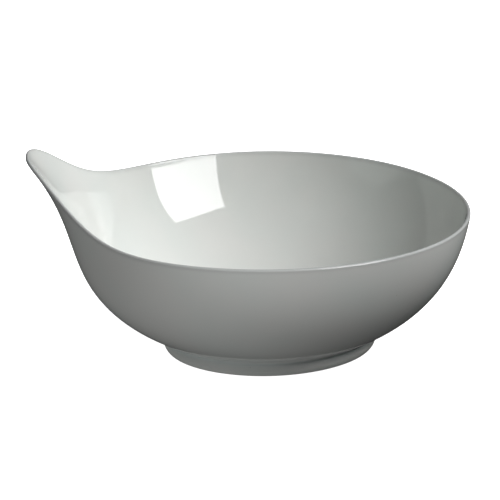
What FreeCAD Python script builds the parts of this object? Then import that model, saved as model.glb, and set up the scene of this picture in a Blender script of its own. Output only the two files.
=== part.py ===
import FreeCAD, Part

import math
import os

import Sketcher
from FreeCAD import Placement, Rotation, Vector

# A shallow porcelain dish on a foot ring, with one cupped lug drawn up and out of its rim.
# Frame: millimetres, +Z up, origin on the foot's axis in the plane that the foot stands on, lug towards -X.
# The dish is its own mirror image across the XZ plane.
#
# The biscuit (fired clay) is one free-form wall.  A "turn" is an angle round the bowl's axis, in radians from
# the lug, and a "level" is a height on the plain wall as a fraction of rim_height, so level 1 is the rim.
# Hand-finished ware isn't quite true: the bowl sits a little off its foot's axis and leans away from the lug.

SIZES = [
    # alias, value, meaning (lengths in mm, angles in degrees)
    ("rim_radius", 75.0, "outer radius of the plain round rim"),
    ("rim_height", 51.5, "height at which the rim begins to round over"),
    ("curve_linear", 0.182, "wall curve: share of the squared radius lost in proportion to the depth"),
    ("curve_square", 0.370, "wall curve: share lost with the depth squared"),
    ("curve_cube", 0.383, "wall curve: share lost with the depth cubed"),
    ("rim_thickness", 1.0, "biscuit thickness at the rim"),
    ("base_thickness", 3.2, "biscuit thickness that the wall would reach at the ground"),
    ("rim_shift", 1.2, "offset of the rim's centre from the bowl's axis, away from the lug"),
    ("rim_warp", 0.5, "dip of the rim at the lug and opposite it, and its rise at the sides"),
    ("bowl_shift", 1.57, "offset of the bowl's axis from the foot's axis, towards the lug"),
    ("bowl_lean", 1.06, "lean of the bowl's axis, away from the lug"),
    ("bowl_rise", 0.46, "height of level 0 above the ground"),
    ("lug_reach", 14.2, "how far the lug's tip stands out past the round rim"),
    ("reach_angle", 18.4, "turn at which most of the reach is gone"),
    ("reach_fall", 1.46, "steepness of the reach along the rim"),
    ("reach_climb", 9.4, "power of the level with which the reach comes in"),
    ("lug_rise", 22.9, "how far the lug's tip stands above the rim"),
    ("rise_angle", 19.8, "turn at which most of the rise is gone"),
    ("rise_fall", 1.78, "steepness of the rise along the rim"),
    ("rise_climb", 5.56, "power of the level with which the rise comes in"),
    ("ridge_angle", 7.0, "turn over which the crease along the middle of the lug is rounded"),
    ("root_radius", 75.2, "distance from the foot's axis at which the lug's root plane meets the wall"),
    ("root_height", 47.8, "height at which the lug's root plane meets the wall"),
    ("root_tilt", 45.0, "slope of the lug's root plane"),
    ("block_side", 120.0, "side of the block that takes the lug off the wall"),
    ("foot_height", 6.3, "height of the foot ring, and of the bowl's flat underside"),
    ("foot_radius", 39.4, "outer radius of the foot ring"),
    ("foot_rounding", 3.0, "rounding of the foot's lower outer edge"),
    ("contact_inner", 34.8, "inner radius of the bare contact face"),
    ("recess_edge", 33.6, "inner radius of the foot where its lower inner edge begins to round under"),
    ("recess_rounding", 1.2, "rounding of the foot's lower inner edge"),
    ("recess_radius", 33.4, "inner radius of the foot under the bowl"),
    ("floor_height", 9.7, "height of the biscuit floor inside the bowl"),
    ("floor_radius", 34.0, "radius of the flat middle of the floor"),
    ("floor_level", 0.25, "level below which the inner wall turns into the floor"),
    ("glaze_end", 0.5, "height on the foot's rounded outer edge at which the glaze ends"),
    ("glaze_thickness", 0.25, "thickness of the glaze"),
    ("glaze_pool", 1.6, "length of flank over which the glaze rounds the corner above the foot"),
]

TURNS = 48         # places round the wall where it is set out
CROWDING = 0.75    # 0 spaces them evenly, towards 1 gathers them at the lug
WALL_ROWS = 10     # places from the foot to the rim
LIP_ROWS = 7       # places over the rounded rim
BEND_ROWS = 5      # places across the bend between wall and floor, and between foot and wall
EDGE_ROWS = 3      # places up the rounded lower edge of the foot
STEP = 1e-4        # small step for slopes, in radians and in levels
HALVINGS = 50      # times that a search halves its range

START, END, CENTRE = 1, 2, 3    # the points of a sketch edge, as constraints number them
H_AXIS, V_AXIS = -1, -2         # the axes of a sketch, as constraints number them
ORIGIN = -1                     # the origin is the start of the horizontal axis
TOLERANCE = 1e-6                # how closely a found edge matches the one wanted


class Wall:
    """The biscuit wall as a formula of turn and level, with its sizes read from the sheet."""

    def __init__(self, sheet):
        for alias, _, _ in SIZES:
            setattr(self, alias, float(sheet.get(alias)))
        self.turns = [crowded_turn(index) for index in range(TURNS)]
        self.levels = [spaced(self.level_at(turn, self.foot_height), 1.0, WALL_ROWS) for turn in self.turns]

    def swell(self, turn, angle, fall):
        """1 on the lug's middle line, falling smoothly to 0 along the rim on both sides."""
        ridge = math.radians(self.ridge_angle)
        away = math.hypot(turn, ridge) - ridge
        return math.exp(-((away / math.radians(angle)) ** fall))

    def outside(self, turn, level):
        """A point of the wall's outer face."""
        depth = 1.0 - level
        lost = depth * (self.curve_linear + depth * (self.curve_square + depth * self.curve_cube))
        reach = self.lug_reach * self.swell(turn, self.reach_angle, self.reach_fall)
        rise = self.lug_rise * self.swell(turn, self.rise_angle, self.rise_fall)
        radius = self.rim_radius * math.sqrt(1.0 - lost) + reach * level**self.reach_climb
        radius -= self.rim_shift * level**2 * math.cos(turn)
        height = self.rim_height * level + rise * level**self.rise_climb
        height -= self.rim_warp * level**2 * math.cos(2.0 * turn)
        return self.settled(around(radius, turn, height))

    def settled(self, point):
        """A point of the true bowl, moved to where the bowl sits and leans on its foot."""
        lean = math.radians(self.bowl_lean)
        shifted = point.x * math.cos(lean) + point.z * math.sin(lean) - self.bowl_shift
        lifted = point.z * math.cos(lean) - point.x * math.sin(lean) + self.bowl_rise
        return Vector(shifted, point.y, lifted)

    def level_at(self, turn, height):
        """The level at which the outer face reaches this height."""
        low, high = 0.0, 1.0
        for _ in range(HALVINGS):
            middle = (low + high) / 2.0
            if self.outside(turn, middle).z < height:
                low = middle
            else:
                high = middle
        return low

    def directions(self, turn, level):
        """Unit vectors at a point of the outer face: through the wall, and up the face square to the rim."""
        along = self.outside(turn + STEP, level) - self.outside(turn - STEP, level)
        climb = self.outside(turn, level + STEP) - self.outside(turn, level - STEP)
        inward = climb.cross(along).normalize()
        upward = along.cross(inward).normalize()
        return inward, upward

    def across(self, turn, level, depth):
        """The point this deep in the wall, square to its outer face."""
        inward, _ = self.directions(turn, level)
        return self.outside(turn, level) + inward * depth

    def thickness(self, level):
        return self.rim_thickness + (self.base_thickness - self.rim_thickness) * (1.0 - level)

    def outer_rows(self, skin):
        """Rings up the outer face, from the plane of the bowl's underside to the rim."""
        rows = zip(*self.levels)
        return [[self.across(turn, level, -skin) for turn, level in zip(self.turns, row)] for row in rows]

    def lip_point(self, turn, swing, skin):
        """A point on the half circle over the rim: swing 0 is its outer end and pi its inner end."""
        inward, upward = self.directions(turn, 1.0)
        half = self.rim_thickness / 2.0
        arm = upward * math.sin(swing) - inward * math.cos(swing)
        return self.outside(turn, 1.0) + inward * half + arm * (half + skin)

    def lip_rows(self, skin):
        swings = spaced(0.0, math.pi, LIP_ROWS)
        return [[self.lip_point(turn, swing, skin) for turn in self.turns] for swing in swings]

    def inner_rows(self, skin):
        """Rings down the inner face and on through the curve that lands on the flat floor."""
        rows = []
        for level in spaced(1.0, self.floor_level, WALL_ROWS):
            depth = self.thickness(level) + skin
            rows.append([self.across(turn, level, depth) for turn in self.turns])
        lowest = rows[-1]
        landing = [around(self.floor_radius, turn, self.floor_height + skin) for turn in self.turns]
        for share in spaced(1.0, 0.0, BEND_ROWS)[1:]:
            rows.append([landed(start, end, share) for start, end in zip(lowest, landing)])
        return rows

    def foot_skin_rows(self):
        """Rings up the glaze on the foot: its rounded edge, its flank and its corner with the bowl."""
        skin = self.glaze_thickness
        reach = self.foot_rounding + skin
        lowest = math.asin((self.foot_rounding - self.glaze_end) / reach)
        outline = []
        for angle in spaced(lowest, 0.0, EDGE_ROWS):
            radius = self.foot_radius - self.foot_rounding + reach * math.cos(angle)
            outline.append((radius, self.foot_rounding - reach * math.sin(angle)))
        flank = self.foot_radius + skin
        pool_height = self.foot_height - self.glaze_pool
        outline.append((flank, (self.foot_rounding + pool_height) / 2.0))
        outline.append((flank, pool_height))
        rows = [[around(radius, turn, height) for turn in self.turns] for radius, height in outline]
        pool = rows[-1]
        corner = [around(flank, turn, self.foot_height - skin) for turn in self.turns]
        levels = [self.level_at(turn, self.foot_height + self.glaze_pool) for turn in self.turns]
        wall = [self.across(turn, level, -skin) for turn, level in zip(self.turns, levels)]
        for share in spaced(0.0, 1.0, BEND_ROWS)[1:]:
            rows.append([rounded(*ends, share) for ends in zip(pool, corner, wall)])
        return rows


def around(radius, turn, height):
    return Vector(-radius * math.cos(turn), -radius * math.sin(turn), height)


def crowded_turn(index):
    """The turn of one place: places crowd together where the lug is."""
    even = 2.0 * math.pi * index / TURNS
    if even > math.pi:
        even -= 2.0 * math.pi
    return even - CROWDING * math.sin(even)


def spaced(start, end, count):
    return [start + (end - start) * index / (count - 1) for index in range(count)]


def landed(start, end, share):
    """A point on the curve that reaches end level: share 1 is start and share 0 is end."""
    point = end + (start - end) * share
    return Vector(point.x, point.y, end.z + (start.z - end.z) * share**2)


def rounded(start, corner, end, share):
    """A point on the parabola from start to end that is tangent to both lines through corner."""
    leaving = start * (1.0 - share) + corner * share
    reaching = corner * (1.0 - share) + end * share
    return leaving * (1.0 - share) + reaching * share


def ring_curve(ring):
    """A closed smooth curve through one ring of points."""
    steps = [float(index) for index in range(TURNS + 1)]
    curve = Part.BSplineCurve()
    curve.interpolate(Points=ring, PeriodicFlag=True, Parameters=steps)
    return curve


def band_face(rows):
    """A smooth closed band through all the rings, one after another."""
    side = TURNS // 4
    travel = [0.0]
    for lower, upper in zip(rows, rows[1:]):
        travel.append(travel[-1] + (upper[side] - lower[side]).Length)
    rings = [ring_curve(ring) for ring in rows]
    columns = []
    for poles in zip(*[ring.getPoles() for ring in rings]):
        column = Part.BSplineCurve()
        column.interpolate(Points=list(poles), Parameters=travel)
        columns.append(column)
    surface = Part.BSplineSurface()
    surface.buildFromPolesMultsKnots(
        [column.getPoles() for column in columns],
        rings[0].getMultiplicities(), columns[0].getMultiplicities(),
        rings[0].getKnots(), columns[0].getKnots(),
        True, False, rings[0].Degree, columns[0].Degree,
    )
    return surface.toShape()


def flat_face(ring):
    return Part.Face(Part.Wire(ring_curve(ring).toShape()))


def closed_solid(*bands):
    """The solid inside bands that follow one another, closed by a flat face at each end."""
    faces = [band_face(rows) for rows in bands]
    faces += [flat_face(bands[0][0]), flat_face(bands[-1][-1])]
    shell = Part.Shell(faces)
    shell.sewShape()
    solid = Part.Solid(shell)
    if solid.Volume < 0.0:
        solid.reverse()
    return solid


def make_sheet(doc):
    """The driving dimensions in a spreadsheet, one per row, each with its alias."""
    sheet = doc.addObject("Spreadsheet::Sheet", "sizes")
    for row, (alias, value, meaning) in enumerate(SIZES, start=1):
        sheet.set(f"A{row}", alias)
        sheet.set(f"B{row}", str(value))
        sheet.set(f"C{row}", meaning)
        sheet.setAlias(f"B{row}", alias)
    doc.recompute()
    return sheet


def make_form(doc, label, solid):
    form = doc.addObject("Part::Feature", label)
    form.Shape = solid
    form.Placement = Placement()
    return form


def make_biscuit(doc, wall):
    """Bare wall, floor and lug, still in one."""
    outer = wall.outer_rows(0.0)
    for point in outer[0]:
        point.z = wall.foot_height
    return make_form(doc, "biscuit", closed_solid(outer, wall.lip_rows(0.0), wall.inner_rows(0.0)))


def make_glazed_form(doc, wall):
    """The outside of the glaze as a full solid, from the foot's rounded edge upwards."""
    skin = wall.glaze_thickness
    outer = wall.foot_skin_rows() + wall.outer_rows(skin)[1:]
    return make_form(doc, "glazed_form", closed_solid(outer, wall.lip_rows(skin), wall.inner_rows(skin)))


def make_lug_block(doc, wall):
    """A block whose tilted underside is the root plane of the lug."""
    block = doc.addObject("Part::Box", "lug_block")
    for side in ("Length", "Width", "Height"):
        block.setExpression(side, "sizes.block_side")
    block.Placement = Placement(Vector(), Rotation(Vector(0, -1, 0), wall.root_tilt))
    block.setExpression("Placement.Rotation.Angle", "sizes.root_tilt")
    half = "sizes.block_side / 2"
    block.setExpression("Placement.Base.x", f"-sizes.root_radius - {half} * cos(sizes.root_tilt * 1 deg)")
    block.setExpression("Placement.Base.y", f"-{half}")
    block.setExpression("Placement.Base.z", f"sizes.root_height - {half} * sin(sizes.root_tilt * 1 deg)")
    return block


def make_recess_block(doc):
    """The space under the bowl, out to the middle of the foot's contact face."""
    block = doc.addObject("Part::Cylinder", "recess_block")
    block.setExpression("Radius", "(sizes.contact_inner + sizes.foot_radius - sizes.foot_rounding) / 2")
    block.setExpression("Height", "sizes.foot_height")
    return block


def make_boolean(doc, kind, label, base, tool):
    feature = doc.addObject(kind, label)
    feature.Base = base
    feature.Tool = tool
    return feature


def origin_plane(body, role):
    return next(item for item in body.Origin.OriginFeatures if item.Role == role)


def flat_ended_arc(level_end, other_end):
    """An arc that leaves level_end horizontally and climbs to other_end."""
    run = other_end.x - level_end.x
    climb = other_end.y - level_end.y
    radius = (run**2 + climb**2) / (2.0 * climb)
    circle = Part.Circle(level_end + Vector(0, radius), Vector(0, 0, 1), radius)
    angles = [circle.parameter(level_end), circle.parameter(other_end)]
    if run < 0.0:
        angles.reverse()
    return Part.ArcOfCircle(circle, *angles)


def pin(sketch, kind, axis, edge, point, formula):
    """Tie one coordinate of a sketch point to a sheet formula, or put the point on the axis for 0."""
    if formula == "0":
        sketch.addConstraint(Sketcher.Constraint("PointOnObject", edge, point, axis))
        return
    value = sketch.evalExpression(formula)
    index = sketch.addConstraint(Sketcher.Constraint(kind, ORIGIN, START, edge, point, value))
    sketch.setExpression(f"Constraints[{index}]", formula)


def turned_body(doc, label, corners, arcs=None):
    """A body turned about +Z from a clockwise outline of corners.

    Each corner is a radius and a height, as sheet formulas, and edge i runs from corner i to the next one.
    arcs maps an edge that is an arc to the one of its two corners where it is level; the arc's centre stands
    straight above that corner.
    """
    arcs = arcs or {}
    body = doc.addObject("PartDesign::Body", label)
    sketch = body.newObject("Sketcher::SketchObject", f"{label}_outline")
    sketch.AttachmentSupport = [(origin_plane(body, "XZ_Plane"), "")]
    sketch.MapMode = "FlatFace"
    points = [Vector(*[sketch.evalExpression(formula) for formula in corner]) for corner in corners]
    count = len(corners)
    for edge in range(count):
        ends = {edge, (edge + 1) % count}
        if edge in arcs:
            other = (ends - {arcs[edge]}).pop()
            sketch.addGeometry(flat_ended_arc(points[arcs[edge]], points[other]))
        else:
            sketch.addGeometry(Part.LineSegment(points[edge], points[(edge + 1) % count]))
    # a sketch arc runs anticlockwise, so on a clockwise outline its start is its far end
    first = [END if edge in arcs else START for edge in range(count)]
    last = [START if edge in arcs else END for edge in range(count)]
    for edge in range(count):
        after = (edge + 1) % count
        sketch.addConstraint(Sketcher.Constraint("Coincident", edge, last[edge], after, first[after]))
    for edge, (radius, height) in enumerate(corners):
        pin(sketch, "DistanceX", V_AXIS, edge, first[edge], radius)
        pin(sketch, "DistanceY", H_AXIS, edge, first[edge], height)
    for edge, level_corner in arcs.items():
        pin(sketch, "DistanceX", V_AXIS, edge, CENTRE, corners[level_corner][0])
    turned = body.newObject("PartDesign::Revolution", f"{label}_turned")
    turned.Profile = sketch
    turned.ReferenceAxis = (sketch, ["V_Axis"])
    turned.Angle = 360.0
    doc.recompute()
    return body


def round_edge(doc, body, radius, height, rounding):
    """Round the body's circular edge that has this radius and height, all three given as sheet formulas."""
    base = body.Tip
    wanted = base.evalExpression(radius), base.evalExpression(height)
    names = []
    for number, edge in enumerate(base.Shape.Edges, start=1):
        if isinstance(edge.Curve, Part.Circle):
            found = edge.Curve.Radius, edge.Curve.Center.z
            if math.dist(found, wanted) < TOLERANCE:
                names.append(f"Edge{number}")
    fillet = body.newObject("PartDesign::Fillet", f"{body.Label}_rounding")
    fillet.Base = (base, names)
    fillet.setExpression("Radius", rounding)
    doc.recompute()


def make_foot_ring(doc):
    """The ring under the bowl: an upright flank, rounded lower edges and a narrow flat contact face."""
    corners = [
        ("sizes.foot_radius", "sizes.foot_height"),
        ("sizes.foot_radius", "sizes.foot_rounding"),
        ("sizes.foot_radius - sizes.foot_rounding", "0"),
        ("sizes.contact_inner", "0"),
        ("sizes.recess_edge", "sizes.recess_rounding"),
        ("sizes.recess_radius", "sizes.foot_height"),
    ]
    return turned_body(doc, "foot_ring", corners, arcs={1: 2, 3: 3})


def make_recess_glaze(doc):
    """The glaze on the underside of the bowl and down the inside of the foot, pooled in the corner."""
    skin = "sizes.glaze_thickness"
    corners = [
        ("0", "sizes.foot_height"),
        ("sizes.recess_radius", "sizes.foot_height"),
        ("sizes.recess_edge", "sizes.recess_rounding"),
        (f"sizes.recess_edge - {skin}", "sizes.recess_rounding"),
        (f"sizes.recess_radius - {skin}", f"sizes.foot_height - {skin}"),
        ("0", f"sizes.foot_height - {skin}"),
    ]
    body = turned_body(doc, "recess_glaze", corners)
    round_edge(doc, body, *corners[4], "sizes.glaze_pool")
    return body


def check(doc, parts):
    """Stop if any object failed to compute or any sub-part has no sound shape."""
    for item in doc.Objects:
        if "Invalid" in item.State or "Error" in item.State:
            raise RuntimeError(f"{item.Label} is in state {item.State}")
    for part in parts:
        if part.Shape.isNull() or not part.Shape.isValid() or not part.Shape.Solids:
            raise RuntimeError(f"{part.Label} has no valid solid")


def main():
    doc = FreeCAD.newDocument("dish")
    wall = Wall(make_sheet(doc))
    biscuit = make_biscuit(doc, wall)
    glazed_form = make_glazed_form(doc, wall)
    lug_block = make_lug_block(doc, wall)
    foot_ring = make_foot_ring(doc)
    clay = doc.addObject("Part::MultiFuse", "clay")
    clay.Shapes = [biscuit, foot_ring, make_recess_block(doc)]
    parts = [
        make_boolean(doc, "Part::Cut", "bowl_body", biscuit, lug_block),
        make_boolean(doc, "Part::Common", "pull_lug", biscuit, lug_block),
        foot_ring,
        make_boolean(doc, "Part::Cut", "glaze_coat", glazed_form, clay),
        make_recess_glaze(doc),
    ]
    doc.recompute()
    check(doc, parts)
    os.makedirs("parts", exist_ok=True)
    for part in parts:
        part.Shape.exportStep(f"parts/{part.Label}.step")
        print(f"{part.Label}: {len(part.Shape.Solids)} solid, {part.Shape.Volume / 1000.0:.2f} cm3")


main()
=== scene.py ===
import math

import bpy
import numpy as np
from mathutils import Matrix, Vector


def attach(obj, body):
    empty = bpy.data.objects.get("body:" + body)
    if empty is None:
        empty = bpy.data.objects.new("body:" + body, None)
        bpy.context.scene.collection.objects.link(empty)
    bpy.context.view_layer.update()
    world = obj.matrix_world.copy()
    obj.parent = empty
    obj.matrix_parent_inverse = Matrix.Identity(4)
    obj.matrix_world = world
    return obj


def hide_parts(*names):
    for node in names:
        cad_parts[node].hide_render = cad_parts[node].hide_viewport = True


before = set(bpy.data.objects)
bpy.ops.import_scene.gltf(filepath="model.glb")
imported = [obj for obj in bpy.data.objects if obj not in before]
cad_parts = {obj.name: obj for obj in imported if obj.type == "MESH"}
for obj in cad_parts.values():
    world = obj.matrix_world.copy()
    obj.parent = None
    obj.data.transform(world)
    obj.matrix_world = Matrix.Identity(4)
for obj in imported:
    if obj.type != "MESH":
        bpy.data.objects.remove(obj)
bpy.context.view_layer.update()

# A white glazed porcelain dish with a cupped lug, on a pale floor, lit by one large window and soft lights.
#
# Lengths are in metres and angles in degrees unless a name says otherwise.  The dish follows the same formula
# as its CAD solids: a "turn" is an angle round the bowl's axis from the lug, in radians, and a "level" is a
# height on the plain wall as a fraction of RIM_HEIGHT, so that level 1 is the rim.  The clay of the bowl and
# of the lug stays as the CAD made it.  The glaze over it, the bare foot and the glaze under the bowl are made
# here, fine enough for sharp reflections.

# ---------------------------------------------------------------- sizes of the dish, as in the CAD

RIM_RADIUS = 0.075
RIM_HEIGHT = 0.0515
CURVE = (0.182, 0.370, 0.383)          # shares of the squared radius lost with depth, depth^2 and depth^3
RIM_THICKNESS = 0.001
BASE_THICKNESS = 0.0032
RIM_SHIFT = 0.0012
RIM_WARP = 0.0005
LUG_REACH = (0.0142, 18.4, 1.46, 9.4)  # length, turn, fall along the rim, climb with the level
LUG_RISE = (0.0229, 19.8, 1.78, 5.56)
RIDGE_ANGLE = 7.0                      # turn over which the crease along the lug is rounded
BOWL_SHIFT = 0.00157                   # offset of the bowl's axis from the foot's axis, towards the lug
BOWL_LEAN = 1.06                       # lean of the bowl's axis, away from the lug
BOWL_RISE = 0.00046                    # height of level 0 above the ground
FOOT_HEIGHT = 0.0063
FOOT_RADIUS = 0.0394
FOOT_ROUNDING = 0.003
CONTACT_INNER = 0.0348
RECESS_EDGE = 0.0336
RECESS_ROUNDING = 0.0012
RECESS_RADIUS = 0.0334
FLOOR_HEIGHT = 0.0097
FLOOR_RADIUS = 0.034
FLOOR_LEVEL = 0.25
GLAZE_END = 0.0005                     # height on the foot's rounded edge at which the glaze ends
GLAZE_POOL = 0.0016

GLAZE = 0.00024                        # a hair less than the CAD's glaze, so that every facet stays inside it
GLAZE_FLOW = 0.00005                   # how much thinner the glaze is where it has flowed away
BACK = 0.00002                         # gap between the back of the glaze and the clay
RIM_SATIN_AND_SHADE_REACH = 0.0011                    # how far from the rim the glaze has drawn thinner and satin, and how far the painted shade on the rim's crest reaches
POOL_REACH = 0.0016                    # how far from a corner the glaze has pooled

STEP = 1e-4                            # small step for slopes, in radians and in levels
TURNS = 360                            # facets round the dish
CROWDING = 0.6                         # 0 spaces them evenly, towards 1 gathers them at the lug
HALVINGS = 50                          # steps of the search for a level

GLAZE_COOL = (0.70, 0.728, 0.702)
GLAZE_WARM = (0.725, 0.735, 0.71)
# The next colour is painted shade: a grey that darkens the rim's crest, which faces up into the soft lights.
GLAZE_RIM_SHADE = (0.47, 0.48, 0.475)
GLAZE_POOLED = (0.62, 0.69, 0.68)
IRON_SPECK = (0.32, 0.25, 0.18)
CLAY_LIGHT = (0.76, 0.735, 0.68)
CLAY_DARK = (0.69, 0.66, 0.60)
CLAY_SMUDGE = (0.42, 0.41, 0.39)


# ---------------------------------------------------------------- the dish as a formula

def spread(start, end, count, crowd=1.0):
    """Values from start to end; a crowd above 1 gathers them towards the end."""
    shares = 1.0 - (1.0 - np.linspace(0.0, 1.0, count)) ** crowd
    return [start + (end - start) * share for share in shares]


EVEN = np.linspace(-math.pi, math.pi, TURNS, endpoint=False)
TURN = EVEN - CROWDING * np.sin(EVEN)


def swell(turn, angle, fall):
    """1 on the lug's middle line, falling smoothly to 0 along the rim on both sides."""
    ridge = math.radians(RIDGE_ANGLE)
    away = np.hypot(turn, ridge) - ridge
    return np.exp(-((away / math.radians(angle)) ** fall))


def around(radius, turn, height):
    return np.stack([-radius * np.cos(turn), -radius * np.sin(turn), height + 0.0 * turn], axis=-1)


def outside(turn, level):
    """Points of the clay wall's outer face."""
    depth = 1.0 - level
    lost = depth * (CURVE[0] + depth * (CURVE[1] + depth * CURVE[2]))
    reach, reach_angle, reach_fall, reach_climb = LUG_REACH
    rise, rise_angle, rise_fall, rise_climb = LUG_RISE
    radius = RIM_RADIUS * np.sqrt(1.0 - lost)
    radius = radius + reach * swell(turn, reach_angle, reach_fall) * level**reach_climb
    radius = radius - RIM_SHIFT * level**2 * np.cos(turn)
    height = RIM_HEIGHT * level - RIM_WARP * level**2 * np.cos(2.0 * turn)
    height = height + rise * swell(turn, rise_angle, rise_fall) * level**rise_climb
    return settled(around(radius, turn, height))


def settled(points):
    """Points of the true bowl, moved to where the bowl sits and leans on its foot."""
    lean = math.radians(BOWL_LEAN)
    x, y, z = np.moveaxis(points, -1, 0)
    shifted = x * math.cos(lean) + z * math.sin(lean) - BOWL_SHIFT
    lifted = z * math.cos(lean) - x * math.sin(lean) + BOWL_RISE
    return np.stack([shifted, y, lifted], axis=-1)


def level_at(height):
    """The level at which the outer face reaches this height, for every turn."""
    low, high = np.zeros(TURNS), np.ones(TURNS)
    for _ in range(HALVINGS):
        middle = (low + high) / 2.0
        below = outside(TURN, middle)[:, 2] < height
        low, high = np.where(below, middle, low), np.where(below, high, middle)
    return low


def unit(vectors):
    return vectors / np.linalg.norm(vectors, axis=-1, keepdims=True)


def directions(turn, level):
    """Unit vectors through the wall, and up its outer face square to the rim."""
    along = outside(turn + STEP, level) - outside(turn - STEP, level)
    climb = outside(turn, level + STEP) - outside(turn, level - STEP)
    inward = unit(np.cross(climb, along))
    return inward, unit(np.cross(along, inward))


def flow(points):
    """0 to 1, wandering over a few centimetres: where the glaze ran thin while it was molten."""
    waves = (
        ((150.0, 60.0, 90.0), 0.4),
        ((-70.0, 170.0, 50.0), 1.9),
        ((110.0, -120.0, 160.0), 3.1),
        ((-180.0, -90.0, 130.0), 4.6),
        ((40.0, 210.0, -170.0), 5.5),
    )
    total = sum(np.sin(points @ np.array(wave) + phase) for wave, phase in waves)
    return 0.5 + 0.5 * total / len(waves)


def thickness(level):
    return RIM_THICKNESS + (BASE_THICKNESS - RIM_THICKNESS) * (1.0 - level)


def offset(points, direction, skin, uneven):
    """Points moved out by the glaze's thickness; a skin of None is the glaze's own surface."""
    if skin is None:
        skin = (GLAZE - GLAZE_FLOW * uneven)[:, None]
    return points + direction * skin


def wall_ring(level, skin=None):
    points = outside(TURN, level)
    return offset(points, -directions(TURN, level)[0], skin, flow(points))


def lip_ring(swing, skin=None):
    """A ring on the half circle over the rim: swing 0 is its outer end and pi its inner end."""
    inward, upward = directions(TURN, 1.0)
    half = RIM_THICKNESS / 2.0
    arm = upward * math.sin(swing) - inward * math.cos(swing)
    edge = outside(TURN, 1.0)
    return offset(edge + (inward + arm) * half, arm, skin, flow(edge))


def inner_ring(level, skin=None):
    points = outside(TURN, level)
    inward = directions(TURN, level)[0]
    return offset(points + inward * thickness(level), inward, skin, flow(points))


def floor_ring(share, skin=GLAZE):
    """A ring on the curve from the wall, at share 1, to the flat floor, at share 0."""
    start = inner_ring(FLOOR_LEVEL, skin)
    landing = around(FLOOR_RADIUS, TURN, FLOOR_HEIGHT + skin)
    ring = landing + (start - landing) * share
    ring[:, 2] = landing[:, 2] + (start[:, 2] - landing[:, 2]) * share**2
    return ring


# ---------------------------------------------------------------- outlines of the foot, as radius and height

def arc(centre, radius, start, end, count):
    """Points on an arc; an angle of 0 points away from the axis and 90 points down."""
    angles = np.radians(np.linspace(start, end, count))
    return np.stack([centre[0] + radius * np.cos(angles), centre[1] - radius * np.sin(angles)], axis=-1)


def line(start, end, count):
    return np.linspace(start, end, count)


def bend(start, corner, end, count):
    """Rings or points on parabolas from start to end that are tangent to both lines through corner."""
    start, corner, end = (np.array(place) for place in (start, corner, end))
    places = []
    for share in np.linspace(0.0, 1.0, count):
        leaving = start * (1.0 - share) + corner * share
        reaching = corner * (1.0 - share) + end * share
        places.append(leaving * (1.0 - share) + reaching * share)
    return places


def turned(outline):
    """Rings from an outline of radii and heights."""
    return [around(radius, TURN, height) for radius, height in outline]


EDGE_CENTRE = (FOOT_RADIUS - FOOT_ROUNDING, FOOT_ROUNDING)
HEEL_CENTRE = (CONTACT_INNER, RECESS_ROUNDING)


def edge_angle(skin):
    """The angle on the foot's rounded edge at which the glaze ends, at this distance from the clay."""
    return math.degrees(math.asin((FOOT_ROUNDING - GLAZE_END) / (FOOT_ROUNDING + skin)))


# ---------------------------------------------------------------- meshes

def link(name, mesh):
    piece = bpy.data.objects.new(name, mesh)
    bpy.context.scene.collection.objects.link(piece)
    return piece


def solid_from_rings(name, rings, with_poles):
    """A smooth solid through rings of points, one after another.

    With poles, the first and last ring shrink to a point each; without, the last ring joins the first.
    """
    count = len(rings[0])
    body = rings[1:-1] if with_poles else rings
    points = np.concatenate(body)
    rows = len(body) - 1 if with_poles else len(body)
    faces = []
    for row in range(rows):
        a = row * count
        b = (row + 1) % len(body) * count
        for i in range(count):
            j = (i + 1) % count
            faces.append((a + i, b + i, b + j, a + j))
    if with_poles:
        first, last = len(points), len(points) + 1
        a = (len(body) - 1) * count
        points = np.concatenate([points, [rings[0].mean(axis=0), rings[-1].mean(axis=0)]])
        for i in range(count):
            j = (i + 1) % count
            faces.append((first, i, j))
            faces.append((a + i, last, a + j))
    mesh = bpy.data.meshes.new(name)
    mesh.from_pydata(points.tolist(), [], faces)
    mesh.shade_smooth()
    mesh.update()
    return link(name, mesh)


def mark(piece, name, rows):
    """Store a value for each point of a solid with poles, for its material to read, from one row per ring."""
    body = np.concatenate(rows[1:-1])
    values = np.concatenate([body, [rows[0].mean(), rows[-1].mean()]])
    attribute = piece.data.attributes.new(name, "FLOAT", "POINT")
    attribute.data.foreach_set("value", values.astype(np.float32))


def nearness(rings, centre, reach):
    """For each point of each ring, 1 on the centre ring and falling smoothly to 0 over this reach."""
    return [np.exp(-((np.linalg.norm(ring - centre, axis=1) / reach) ** 2)) for ring in rings]


def pooled_corner(level, flank):
    """Where straight lines on down the wall, from this level of every turn, would reach the foot's flank."""
    wall = wall_ring(level)
    upward = directions(TURN, level)[1]
    out = np.hypot(wall[:, 0], wall[:, 1])
    climb = (wall[:, 0] * upward[:, 0] + wall[:, 1] * upward[:, 1]) / out
    return around(flank, TURN, wall[:, 2] - (out - flank) * upward[:, 2] / climb)


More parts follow.
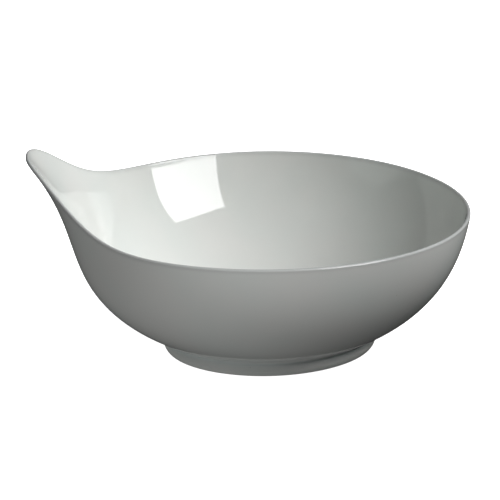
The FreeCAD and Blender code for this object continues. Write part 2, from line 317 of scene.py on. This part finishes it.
def make_glaze():
    """The glaze over bowl, lug and foot, as a closed thin shell from the middle of the floor and back."""
    lip = np.linspace(math.pi, 0.0, 17)
    wall_start = level_at(FOOT_HEIGHT + GLAZE_POOL)
    flank = FOOT_RADIUS + GLAZE
    pool = around(flank, TURN, FOOT_HEIGHT - GLAZE_POOL)
    corner = pooled_corner(wall_start, flank)
    end = edge_angle(GLAZE)

    floor = [around(radius, TURN, FLOOR_HEIGHT + GLAZE) for radius in spread(0.0, FLOOR_RADIUS, 9)]
    floor += [floor_ring(share) for share in np.linspace(0.0, 1.0, 19)[1:]]
    inner = [inner_ring(level) for level in spread(FLOOR_LEVEL, 1.0, 50, 1.4)[1:]]
    over = [lip_ring(swing) for swing in lip[1:-1]]
    outer = [wall_ring(level) for level in spread(wall_start, 1.0, 50, 1.4)[::-1]]
    foot = bend(outer[-1], corner, pool, 20)[1:]
    foot += turned(line((flank, pool[0, 2]), (flank, FOOT_ROUNDING), 5)[1:])
    foot += turned(arc(EDGE_CENTRE, FOOT_ROUNDING + GLAZE, 0.0, end - 3.0, 14)[1:])
    foot += turned(arc(EDGE_CENTRE, FOOT_ROUNDING + GLAZE * 0.7, end, end, 1))

    back = turned(arc(EDGE_CENTRE, FOOT_ROUNDING, edge_angle(0.0), 0.0, 8))
    back += turned(line((FOOT_RADIUS, FOOT_ROUNDING), (FOOT_RADIUS, FOOT_HEIGHT), 3)[1:])
    back += [wall_ring(level, BACK) for level in spread(level_at(FOOT_HEIGHT), 1.0, 22, 1.4)]
    back += [lip_ring(swing, BACK) for swing in lip[::-1][2:-1:2]]
    back += [inner_ring(level, BACK) for level in spread(FLOOR_LEVEL, 1.0, 22, 1.4)[::-1]]
    back += [floor_ring(share, BACK) for share in np.linspace(1.0, 0.0, 6)[1:]]
    back += [around(0.0, TURN, FLOOR_HEIGHT + BACK)]

    rings = floor + inner + over + outer + foot + back
    piece = solid_from_rings("glaze_shell", rings, with_poles=True)
    crest = over[len(over) // 2]
    # This mask makes the rim satin and carries the painted shade that greys its crest.
    mark(piece, "rim_satin_and_shade", nearness(rings, crest, RIM_SATIN_AND_SHADE_REACH))
    mark(piece, "pooled", nearness(rings, corner, POOL_REACH))
    return piece


def make_foot():
    """The clay ring under the bowl, bare where it stands."""
    heel = arc(HEEL_CENTRE, RECESS_ROUNDING, 90.0, 180.0, 12)
    parts = [
        line((RECESS_RADIUS, FOOT_HEIGHT), (FOOT_RADIUS, FOOT_HEIGHT), 4),
        line((FOOT_RADIUS, FOOT_HEIGHT), (FOOT_RADIUS, FOOT_ROUNDING), 5)[1:],
        arc(EDGE_CENTRE, FOOT_ROUNDING, 0.0, 90.0, 20)[1:],
        line((EDGE_CENTRE[0], 0.0), (CONTACT_INNER, 0.0), 7)[1:],
        heel[1:],
        line(heel[-1], (RECESS_RADIUS, FOOT_HEIGHT), 6)[1:-1],
    ]
    return solid_from_rings("foot_clay", turned(np.concatenate(parts)), with_poles=False)


def make_recess_glaze():
    """The glaze under the bowl and down the inside of the foot, pooled in the corner."""
    low = FOOT_HEIGHT - GLAZE
    side = RECESS_RADIUS - GLAZE
    edge = RECESS_EDGE - GLAZE
    pooled = bend((side - GLAZE_POOL, low), (side, low), (side + GLAZE_POOL * 0.06, low - GLAZE_POOL), 14)
    parts = [
        line((0.0, FOOT_HEIGHT), (RECESS_RADIUS, FOOT_HEIGHT), 12),
        line((RECESS_RADIUS, FOOT_HEIGHT), (RECESS_EDGE, RECESS_ROUNDING), 6)[1:],
        line((edge, RECESS_ROUNDING), pooled[-1], 8),
        pooled[::-1][1:],
        line(pooled[0], (0.0, low), 12)[1:],
    ]
    rings = turned(np.concatenate(parts))
    piece = solid_from_rings("recess_glaze_skin", rings, with_poles=True)
    mark(piece, "rim_satin_and_shade", [np.zeros(TURNS)] * len(rings))
    mark(piece, "pooled", nearness(rings, around(side, TURN, low), POOL_REACH))
    return piece


# ---------------------------------------------------------------- materials

class Graph:
    """A material's node tree.  Inputs are plain values, or output sockets of other nodes."""

    def __init__(self, name):
        self.material = bpy.data.materials.new(name)
        self.material.use_nodes = True
        self.tree = self.material.node_tree
        self.shader = self.tree.nodes["Principled BSDF"]

    def feed(self, socket, value):
        if isinstance(value, bpy.types.NodeSocket):
            self.tree.links.new(value, socket)
        else:
            socket.default_value = value

    def node(self, kind, inputs, **settings):
        node = self.tree.nodes.new(f"ShaderNode{kind}")
        for name, value in settings.items():
            setattr(node, name, value)
        for name, value in inputs.items():
            self.feed(node.inputs[name], value)
        return node

    def shade(self, **inputs):
        for name, value in inputs.items():
            self.feed(self.shader.inputs[name.replace("_", " ")], value)

    def position(self, stretch=(1.0, 1.0, 1.0)):
        """The place on the piece, in metres, with each axis stretched."""
        place = self.tree.nodes.new("ShaderNodeTexCoord").outputs["Object"]
        return self.node("Mapping", {"Vector": place, "Scale": stretch}).outputs["Vector"]

    def noise(self, pitch, detail=2.0, stretch=(1.0, 1.0, 1.0)):
        """Soft cloudy variation from about 0.3 to 0.7, with features this many metres apart."""
        inputs = {"Vector": self.position(stretch), "Scale": 1.0 / pitch, "Detail": detail}
        return self.node("TexNoise", inputs).outputs["Fac"]

    def value(self, operation, first, second):
        node = self.node("Math", {}, operation=operation)
        self.feed(node.inputs[0], first)
        self.feed(node.inputs[1], second)
        return node.outputs["Value"]

    def scaled(self, value, from_range, to_range):
        inputs = {"Value": value, "From Min": from_range[0], "From Max": from_range[1]}
        inputs.update({"To Min": to_range[0], "To Max": to_range[1]})
        return self.node("MapRange", inputs).outputs["Result"]

    def blend(self, share, first, second):
        """A colour between two; share 0 is the first and 1 the second."""
        node = self.node("Mix", {}, data_type="RGBA")
        self.feed(node.inputs[0], share)
        for socket, color in ((node.inputs[6], first), (node.inputs[7], second)):
            self.feed(socket, (*color, 1.0) if isinstance(color, tuple) else color)
        return node.outputs[2]

    def specks(self, pitch, radius, share):
        """1 on scattered round specks: one cell in pitch metres, of which this share has a speck."""
        inputs = {"Vector": self.position(), "Scale": 1.0 / pitch}
        cells = self.node("TexVoronoi", inputs)
        chance = self.node("SeparateColor", {"Color": cells.outputs["Color"]})
        size = self.scaled(chance.outputs["Green"], (0.0, 1.0), (0.5 * radius / pitch, radius / pitch))
        near = self.value("LESS_THAN", cells.outputs["Distance"], size)
        chosen = self.value("LESS_THAN", chance.outputs["Red"], share)
        return self.value("MULTIPLY", near, chosen)

    def bump(self, *layers):
        """The surface normal after several layers, each a height from 0 to 1 and its depth in metres."""
        normal = None
        for height, depth in layers:
            inputs = {"Height": height, "Distance": depth, "Strength": 1.0}
            if normal:
                inputs["Normal"] = normal
            normal = self.node("Bump", inputs).outputs["Normal"]
        return normal

    def attribute(self, name):
        return self.node("Attribute", {}, attribute_name=name).outputs["Fac"]


def porcelain_glaze():
    """White gloss with painted shade in grey over the rim's crest, greener where pooled, with a few iron
    specks.
    """
    graph = Graph("porcelain_glaze")
    color = graph.blend(graph.scaled(graph.noise(0.03), (0.35, 0.65), (0.0, 1.0)), GLAZE_COOL, GLAZE_WARM)
    # Painted shade: the rim's crest is greyed to hold down the light it catches from above.
    color = graph.blend(graph.attribute("rim_satin_and_shade"), color, GLAZE_RIM_SHADE)
    color = graph.blend(graph.value("MULTIPLY", graph.attribute("pooled"), 0.7), color, GLAZE_POOLED)
    color = graph.blend(graph.value("MULTIPLY", graph.specks(0.011, 0.00022, 0.4), 0.3), color, IRON_SPECK)
    pinholes = graph.specks(0.008, 0.00015, 0.25)
    satin = graph.value("MULTIPLY", graph.attribute("rim_satin_and_shade"), 0.2)
    roughness = graph.value("ADD", graph.scaled(graph.noise(0.012, 4.0), (0.3, 0.7), (0.03, 0.055)), satin)
    rings = graph.noise(0.0016, 1.0, (0.02, 0.02, 1.0))
    peel = graph.noise(0.0022, 1.0)
    graph.shade(
        Base_Color=color,
        Roughness=roughness,
        IOR=1.52,
        Normal=graph.bump((rings, 0.0000035), (peel, 0.0000025), (pinholes, -0.00001)),
    )
    return graph.material


def biscuit_clay():
    """Fired unglazed porcelain: cream, finely sanded, with grit and grey marks where it has stood."""
    graph = Graph("biscuit_clay")
    color = graph.blend(graph.scaled(graph.noise(0.009, 4.0), (0.3, 0.7), (0.0, 1.0)), CLAY_LIGHT, CLAY_DARK)
    color = graph.blend(graph.value("MULTIPLY", graph.specks(0.0015, 0.0001, 0.3), 0.5), color, IRON_SPECK)
    height = graph.node("SeparateXYZ", {"Vector": graph.position()}).outputs["Z"]
    stood = graph.scaled(height, (0.00005, 0.0003), (1.0, 0.0))
    rubbed = graph.scaled(graph.noise(0.004, 3.0), (0.4, 0.65), (0.1, 0.75))
    color = graph.blend(graph.value("MULTIPLY", stood, rubbed), color, CLAY_SMUDGE)
    graph.shade(
        Base_Color=color,
        Roughness=graph.scaled(graph.noise(0.003), (0.3, 0.7), (0.68, 0.86)),
        Normal=graph.bump((graph.noise(0.0012), 0.00002), (graph.noise(0.0003), 0.00002)),
    )
    return graph.material


GLAZE_MATERIAL = porcelain_glaze()
CLAY_MATERIAL = biscuit_clay()


def finish_piece(piece, material, node):
    piece.data.materials.append(material)
    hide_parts(node)
    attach(piece, "root")


finish_piece(make_glaze(), GLAZE_MATERIAL, "glaze_coat")
finish_piece(make_foot(), CLAY_MATERIAL, "foot_ring")
finish_piece(make_recess_glaze(), GLAZE_MATERIAL, "recess_glaze")
for name in ("bowl_body", "pull_lug"):
    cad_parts[name].data.materials.clear()
    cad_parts[name].data.materials.append(CLAY_MATERIAL)


# ---------------------------------------------------------------- floor and backdrop

FLOOR_SIDE = 16.0
DOME_RADIUS = 8.0


def glowing(name, base, glow):
    graph = Graph(name)
    white = (1.0, 1.0, 1.0, 1.0)
    graph.shade(Base_Color=(base, base, base, 1.0), Emission_Color=white, Emission_Strength=glow)
    return graph.material


def make_floor():
    """A white table top: its own glow keeps it white, and the dish doesn't mirror it."""
    bpy.ops.mesh.primitive_plane_add(size=FLOOR_SIDE)
    floor = bpy.context.object
    floor.name = "floor"
    floor.data.materials.append(glowing("white_table", 0.9, 1.0))
    floor.visible_diffuse = False
    floor.visible_glossy = False
    floor.visible_shadow = False


def make_backdrop():
    """A white dome all round, seen only by the camera."""
    bpy.ops.mesh.primitive_uv_sphere_add(segments=48, ring_count=24, radius=DOME_RADIUS)
    dome = bpy.context.object
    dome.name = "backdrop"
    dome.data.materials.append(glowing("white_paper", 0.0, 1.0))
    dome.visible_diffuse = False
    dome.visible_glossy = False
    dome.visible_transmission = False
    dome.visible_shadow = False


make_floor()
make_backdrop()


# ---------------------------------------------------------------- camera

VIEW_TURN = 1.878              # how far the camera stands round from straight in front, towards the lug
VIEW_ELEVATION = 17.908
VIEW_ROLL = 1.566
VIEW_DISTANCE = 2.1
TARGET = Vector((-0.00109, 0.0, 0.02622))
LENS = 405.6                   # millimetres, as the sensor's width
SENSOR = 36.0
FAR = 100.0                    # nothing farther away is drawn
AIM = (-0.00539, 0.01045)      # from the target, to the right and up in the picture plane


def direction(azimuth, elevation):
    """A unit vector; an azimuth of 0 points along +X and 90 along +Y."""
    a, e = math.radians(azimuth), math.radians(elevation)
    return Vector((math.cos(e) * math.cos(a), math.cos(e) * math.sin(a), math.sin(e)))


def make_camera():
    data = bpy.data.cameras.new("camera")
    data.lens = LENS
    data.sensor_width = SENSOR
    data.clip_end = FAR
    camera = link("camera", data)
    back = direction(-90.0 - VIEW_TURN, VIEW_ELEVATION)
    right = direction(-VIEW_TURN, 0.0)
    up = back.cross(right)
    camera.location = TARGET + back * VIEW_DISTANCE
    aim = TARGET + right * AIM[0] + up * AIM[1]
    look = (aim - camera.location).to_track_quat("-Z", "Y").to_matrix()
    look = look @ Matrix.Rotation(math.radians(-VIEW_ROLL), 3, "Z")
    camera.matrix_world = Matrix.Translation(camera.location) @ look.to_4x4()
    bpy.context.scene.camera = camera


make_camera()


# ---------------------------------------------------------------- lights

WINDOW_DISTANCE = 2.0
WINDOW_AZIMUTH = -42.0
WINDOW_WIDTH = 0.73            # as shares of its distance
WINDOW_HEIGHT = 0.79
WINDOW_MIDDLE = 0.406
WINDOW_POWER = 66.0
WINDOW_BASE = 0.045            # height that the window's middle is measured from

SOFT_SPREAD = 30.0             # angle that each soft light fills, as seen from the dish

LOW_LIGHT_AZIMUTH = 255.0
LOW_LIGHT_DISTANCE = 0.18
LOW_LIGHT_HEIGHT = 0.06
LOW_LIGHT_SIZE = 0.1
LOW_LIGHT_POWER = 0.041
LOW_LIGHT_AIM = 0.035          # height on the dish's axis

ROOM_GLOW = 0.02


def make_window():
    data = bpy.data.lights.new("window", "AREA")
    data.shape = "RECTANGLE"
    data.size = WINDOW_WIDTH * WINDOW_DISTANCE
    data.size_y = WINDOW_HEIGHT * WINDOW_DISTANCE
    data.energy = WINDOW_POWER
    light = link("window", data)
    away = direction(WINDOW_AZIMUTH, 0.0)
    light.location = away * WINDOW_DISTANCE + Vector((0, 0, WINDOW_BASE + WINDOW_MIDDLE * WINDOW_DISTANCE))
    light.rotation_euler = (-away).to_track_quat("-Z", "Y").to_euler()
    light.visible_diffuse = False


def make_soft_light(name, azimuth, elevation, strength):
    data = bpy.data.lights.new(name, "SUN")
    data.angle = math.radians(SOFT_SPREAD)
    data.energy = strength * math.pi
    light = link(name, data)
    light.rotation_euler = (-direction(azimuth, elevation)).to_track_quat("-Z", "Y").to_euler()
    light.visible_glossy = False


def make_low_light():
    """A small soft light low in front of the dish: it lifts the outside and hardly reaches the inside."""
    data = bpy.data.lights.new("low_front", "AREA")
    data.shape = "DISK"
    data.size = LOW_LIGHT_SIZE
    data.energy = LOW_LIGHT_POWER
    light = link("low_front", data)
    light.location = direction(LOW_LIGHT_AZIMUTH, 0.0) * LOW_LIGHT_DISTANCE + Vector((0, 0, LOW_LIGHT_HEIGHT))
    aim = Vector((0, 0, LOW_LIGHT_AIM)) - light.location
    light.rotation_euler = aim.to_track_quat("-Z", "Y").to_euler()
    light.visible_camera = False
    light.visible_glossy = False


def make_world():
    world = bpy.data.worlds.new("room")
    world.use_nodes = True
    world.node_tree.nodes["Background"].inputs["Color"].default_value = (1, 1, 1, 1)
    world.node_tree.nodes["Background"].inputs["Strength"].default_value = ROOM_GLOW
    bpy.context.scene.world = world
    bpy.context.scene.view_settings.view_transform = "Standard"


make_world()
make_window()
make_soft_light("sky_near", 330.0, 40.0, 0.51)
make_soft_light("sky_far", 30.0, 40.0, 0.44)
make_soft_light("sky_high", 315.0, 60.0, 0.27)
make_soft_light("low_left", 180.0, -50.0, 0.22)
make_soft_light("low_back", 120.0, -10.0, 0.3)
make_low_light()
